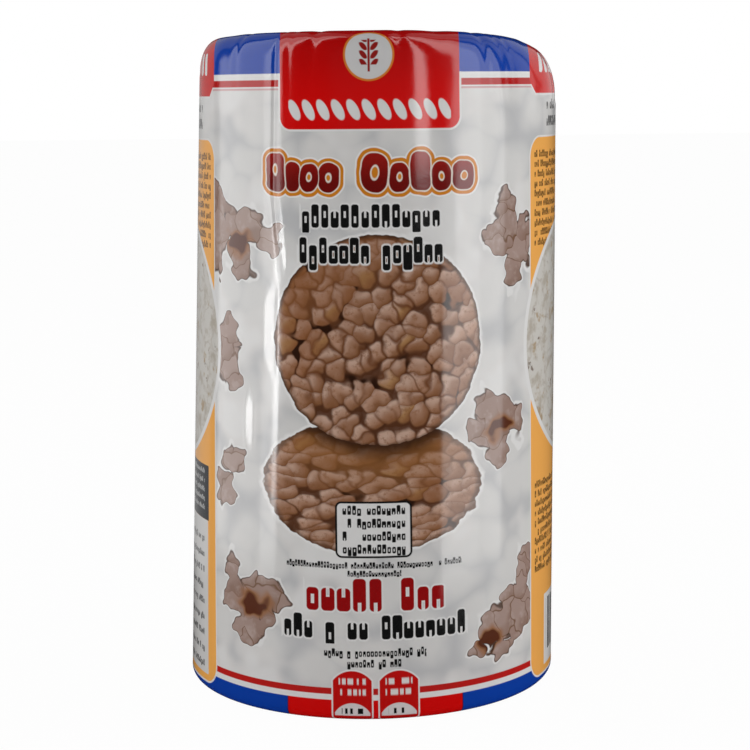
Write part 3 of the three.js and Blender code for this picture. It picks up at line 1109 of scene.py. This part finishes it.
# The side panels' rows of writing, as on the front
SIDE_SPAN = (0.0, 160.0)
BARE_ROW = (0.0, 0.5, 1.0, 1.0, 0.0)
LEFT_ROWS = (
    BARE_ROW,
    *text_rows(5, 44.5, 4.1, 20.5, 1.7, 0.95),
    *text_rows(46.6, 58.6, 2.35, 20.5, 1.3, 0.9),
    (59.0, *BARE_ROW[1:]),
    *text_rows(114, 139.5, 2.45, 25.2, 1.75, 0.9),
    (143.0, 17.4, 2.6, 1.6, 144.4),
    (147.8, 17.4, 2.6, 1.6, 148.6),
)
RIGHT_ROWS = (BARE_ROW, *text_rows(30.0, 56.0, 2.45, 25.2, 1.75, 0.9))
TOP_WRITING_LOW = 100.0
TABLE_HEAD = (51.9, 7.1)
SMALL_SHARE = 0.85


def paint_side(ink, point, u, v):
    """A side panel: an orange field with small writing, a table and a code of bars."""
    panel = rounded_box(vector("ABSOLUTE", point), *PANEL_BOX)
    ink.fill(WHITE, panel - 0.45)
    ink.fill(PANEL_ORANGE, panel)
    for colour, box in SIDE_BOXES:
        ink.fill(colour, rounded_box(point, *box))

    from_middle = REPEAT / 2 - abs(u)
    on_left = u < 0
    letters = writing(from_middle, v, *rows_by_height(v, *SIDE_SPAN, LEFT_ROWS), seed=5)
    colour = blend(BLACK, TABLE_LETTERS, calc("COMPARE", v, *TABLE_HEAD))
    shown = calc("MAXIMUM", on_left, v > TOP_WRITING_LOW)
    ink.paint(colour, inside(letters) * shown * SMALL_SHARE)
    bars = chance(calc("FLOOR", u * 1.9), 37)[0] > 0.48
    ink.paint(BLACK, inside(rounded_box(point, *CODE_BOX)) * bars)
    letters = writing(from_middle, v, *rows_by_height(v, *SIDE_SPAN, RIGHT_ROWS), seed=6)
    ink.paint(BLACK, inside(letters) * (1 - on_left) * SMALL_SHARE)


def paint_side_picture(ink, u, v):
    """The round picture on a side panel: cream puffed cake seen close, with toasted flecks."""
    picture = ellipse(joined(REPEAT / 2 - abs(u), v), *PICTURE)
    around = joined(calc("WRAP", u, REPEAT, 0), v)
    mottled, drift = noise(around, 5, 3, 0.6, seed=38)
    border = cell_border(pushed(around, drift, 9, 9), PUFF_SIZE)
    shaded, toasted, _ = split(drift)
    cream = Print(blend(CREAM, PALE_CREAM, ramp(mottled, 0.34, 0.52)))
    cream.paint(CREAM_SHADE, ramp(border, 0, 0.09, 0.55, 0) * ramp(shaded, 0.4, 0.6))
    cream.paint(CREAM_TOASTED, ramp(toasted, 0.57, 0.7, 0, 0.75))
    cream.paint(CREAM_FLECK, ramp(mottled, 0.64, 0.7, 0, 0.8))
    ink.fill(WHITE, picture - PICTURE_RIM)
    ink.fill(cream.colour, picture)


# The red tab at the top of a side panel and the blocks on it
SIDE_TAB_LOW = 152.6
CUT_CORNER = 3.0
SIDE_TAB_RED = (0.66, 0.02, 0.018)
BLOCK_WHITE = (0.82, 0.8, 0.79)
SIDE_BLOCK = (-1.3, 1.3, 157.8, 163.4, 1.0)
BLOCK_PITCH = 4.2
BLOCKS_HALF = 22.0


def paint_side_tab(ink, u, v):
    """The red tab at the top of a side panel, with a cut corner."""
    away = PANEL_EDGE - abs(u)
    tab = both(away, SIDE_TAB_LOW - v, (SIDE_TAB_LOW + CUT_CORNER - v + away) * 0.71)
    ink.fill(WHITE, both(tab - RIM_WIDTH, v - RED_LINE_LOW))
    ink.fill(SIDE_TAB_RED, tab)
    from_middle = REPEAT / 2 - abs(u)
    in_row = joined(calc("WRAP", from_middle, BLOCK_PITCH / 2, -BLOCK_PITCH / 2), v)
    block = both(rounded_box(in_row, *SIDE_BLOCK), from_middle - BLOCKS_HALF)
    ink.fill(BLOCK_WHITE, block)


FILM_ROUGHNESS = 0.12
FILM_IOR = 1.5
BUMP = {"Strength": 0.05, "Distance": 0.2 * MM}

# Along the film, the left panel's lean grows over the outer range and fades over the inner one
LEAN_OUTER = (-74.0, -50.0)
LEAN_INNER = (-47.0, -26.0)


def printed_film():
    """Reverse-printed glossy film."""
    material = bpy.data.materials.new("printed_film")
    material.use_nodes = True
    tree = material.node_tree
    shader = tree.nodes["Principled BSDF"]
    source = tree.nodes.new("ShaderNodeUVMap")
    source.uv_map = "Print"
    along, v, _ = split(Field(source.outputs[0]))
    straight = along - (v * PRINT_TWIST + (TWIST_START - PRINT_TWIST * TWIST_HEIGHT))
    wrapped = calc("WRAP", straight, REPEAT / 2, -REPEAT / 2)
    near_left_edge = ramp(wrapped, *LEAN_INNER, 1, 0) * ramp(wrapped, *LEAN_OUTER)
    u = wrapped + near_left_edge * ((v - TWIST_HEIGHT) * LEFT_EDGE_LEAN)
    point = joined(u, v)

    ink = Print(OFF_WHITE)
    paint_ground(ink, point)
    paint_popped(ink, point)
    paint_cakes(ink, point)
    paint_title(ink, point, v)
    paint_front_writing(ink, point, u, v)
    paint_bands(ink, point, u, v)
    paint_low_tabs(ink, u, v)
    paint_side(ink, point, u, v)
    paint_side_picture(ink, u, v)
    paint_side_tab(ink, u, v)
    paint_badge(ink, point, u, v)
    tree.links.new(ink.colour.socket, shader.inputs["Base Color"])

    shader.inputs["Roughness"].default_value = FILM_ROUGHNESS
    shader.inputs["IOR"].default_value = FILM_IOR
    grain = noise(point, 1.6, 2, 0.6, seed=51)[0]
    bump = add_node("Bump", {**BUMP, "Height": grain})
    tree.links.new(bump.outputs[0], shader.inputs["Normal"])
    return material


# Stage, lights and camera

FLOOR_SIZE = 12.0
FLOOR_GREY = (0.93, 0.93, 0.93, 1)
FLOOR_WHITE = 0.97
AMBIENT = 0.42
REFLECTED_ROOM = 0.015


def background(tree, strength):
    node = tree.nodes.new("ShaderNodeBackground")
    node.inputs["Color"].default_value = (1, 1, 1, 1)
    node.inputs["Strength"].default_value = strength
    return node.outputs[0]


def mixed_shader(tree, share, low, high):
    node = tree.nodes.new("ShaderNodeMixShader")
    for socket, source in zip(node.inputs, (share, low, high)):
        tree.links.new(source, socket)
    return node.outputs[0]


def add_floor():
    """A pale floor that the camera sees almost white, with only a trace of shadow."""
    bpy.ops.mesh.primitive_plane_add(size=FLOOR_SIZE, location=(0, 0, 0))
    floor = bpy.context.object
    floor.name = "floor"
    material = bpy.data.materials.new("pale_floor")
    material.use_nodes = True
    tree = material.node_tree
    shader = tree.nodes["Principled BSDF"]
    shader.inputs["Base Color"].default_value = FLOOR_GREY
    shader.inputs["Roughness"].default_value = 0.9
    shader.inputs["Specular IOR Level"].default_value = 0
    glow = tree.nodes.new("ShaderNodeEmission")
    path = tree.nodes.new("ShaderNodeLightPath")
    share = Field(path.outputs["Is Camera Ray"]) * FLOOR_WHITE
    mix = mixed_shader(tree, share.socket, shader.outputs[0], glow.outputs[0])
    tree.links.new(mix, tree.nodes["Material Output"].inputs[0])
    floor.data.materials.append(material)
    floor.visible_glossy = False


# Soft panels: azimuth in degrees, distance, height of the middle, width, height and radiance.
# Highlights show only in reflections, and fills light the pack without one.
HIGHLIGHTS = {
    "left_inner": (-66.0, 520, 1992, 110, 4114, 3.7),
    "left_outer": (-92.5, 520, 1992, 390, 4114, 1.75),
    "left_rear": (-144, 520, 1980, 400, 4140, 0.3),
    "left_edge_strip": (-62.3, 520, 36, 26, 150, 11.0),
    "right_inner": (57.8, 560, 2110, 162, 4080, 3.5),
    "right_upper": (47.6, 560, 1134, 42, 2000, 3.2),
    "right_lower": (53.5, 560, -14, 245, 168, 3.5),
    "right_outer": (75, 560, 1972, 178, 4140, 2.2),
    "right_strip": (27.5, 520, 2070, 66, 3900, 4.8),
    "right_rear": (108, 520, 1940, 220, 3600, 0.7),
    "right_edge": (140, 520, 2100, 300, 3900, 0.5),
}
FILLS = {
    "front_fill": (0, 900, 260, 1000, 700, 0.52),
    "left_fill": (-95, 800, 220, 700, 800, 1.5),
    "right_fill": (95, 800, 170, 700, 800, 2.2),
}
FILL_AIM = 80.0


def add_panel_light(name, azimuth, distance, centre_z, width, height, radiance, reflected):
    """A soft panel that faces the pack: a highlight when reflected, and a fill otherwise."""
    data = bpy.data.lights.new(name, "AREA")
    data.shape = "RECTANGLE"
    data.size = width * MM
    data.size_y = height * MM
    data.energy = radiance * math.pi * data.size * data.size_y
    light = bpy.data.objects.new(name, data)
    turn = math.radians(azimuth)
    light.location = Vector((math.sin(turn) * distance, -math.cos(turn) * distance, centre_z)) * MM
    aim = Vector((0, 0, (centre_z if reflected else FILL_AIM) * MM)) - light.location
    light.rotation_euler = aim.to_track_quat("-Z", "Y").to_euler()
    light.visible_glossy = reflected
    light.visible_diffuse = not reflected
    light.visible_camera = False
    bpy.context.scene.collection.objects.link(light)


def add_lights():
    for panels, reflected in ((HIGHLIGHTS, True), (FILLS, False)):
        for name, panel in panels.items():
            add_panel_light(name, *panel, reflected)


def set_world():
    """White to look at, an even light, and a dark room in reflections."""
    world = bpy.data.worlds.new("studio")
    bpy.context.scene.world = world
    world.use_nodes = True
    tree = world.node_tree
    tree.nodes.clear()
    path = tree.nodes.new("ShaderNodeLightPath")
    even = background(tree, AMBIENT)
    room = background(tree, REFLECTED_ROOM)
    lit = mixed_shader(tree, path.outputs["Is Glossy Ray"], even, room)
    seen = mixed_shader(tree, path.outputs["Is Camera Ray"], lit, background(tree, 1))
    output = tree.nodes.new("ShaderNodeOutputWorld")
    tree.links.new(seen, output.inputs[0])


def add_camera():
    data = bpy.data.cameras.new("camera")
    data.sensor_width = SENSOR_WIDTH
    data.lens = CAMERA_LENS
    data.shift_y = CAMERA_SHIFT
    data.clip_start = 0.01
    camera = bpy.data.objects.new("camera", data)
    tilt = Matrix.Rotation(math.pi / 2 - CAMERA_PITCH, 4, "X")
    roll = Matrix.Rotation(CAMERA_ROLL, 4, "Z")
    spot = Matrix.Translation(Vector((CAMERA_X, -CAMERA_DISTANCE, CAMERA_HEIGHT)) * MM)
    camera.matrix_world = spot @ tilt @ roll
    bpy.context.scene.collection.objects.link(camera)
    bpy.context.scene.camera = camera


def add_pack():
    material = printed_film()
    film_piece(material)
    for seal in (
        ("top_end_seal", TOP_SEAL_LENGTH, top_height, 1, axis_x(PACK_HEIGHT), TOP_EDGE, TOP_EDGE_UP),
        ("base_end_seal", BASE_SEAL_LENGTH, recess_height, -1, axis_x(0), BASE_EDGE, BASE_EDGE_UP),
    ):
        end_seal(*seal, material)
    long_seal(material)


add_camera()
set_world()
add_lights()
add_floor()
add_pack()
view = bpy.context.scene.view_settings
view.view_transform = "Standard"
view.look = "None"
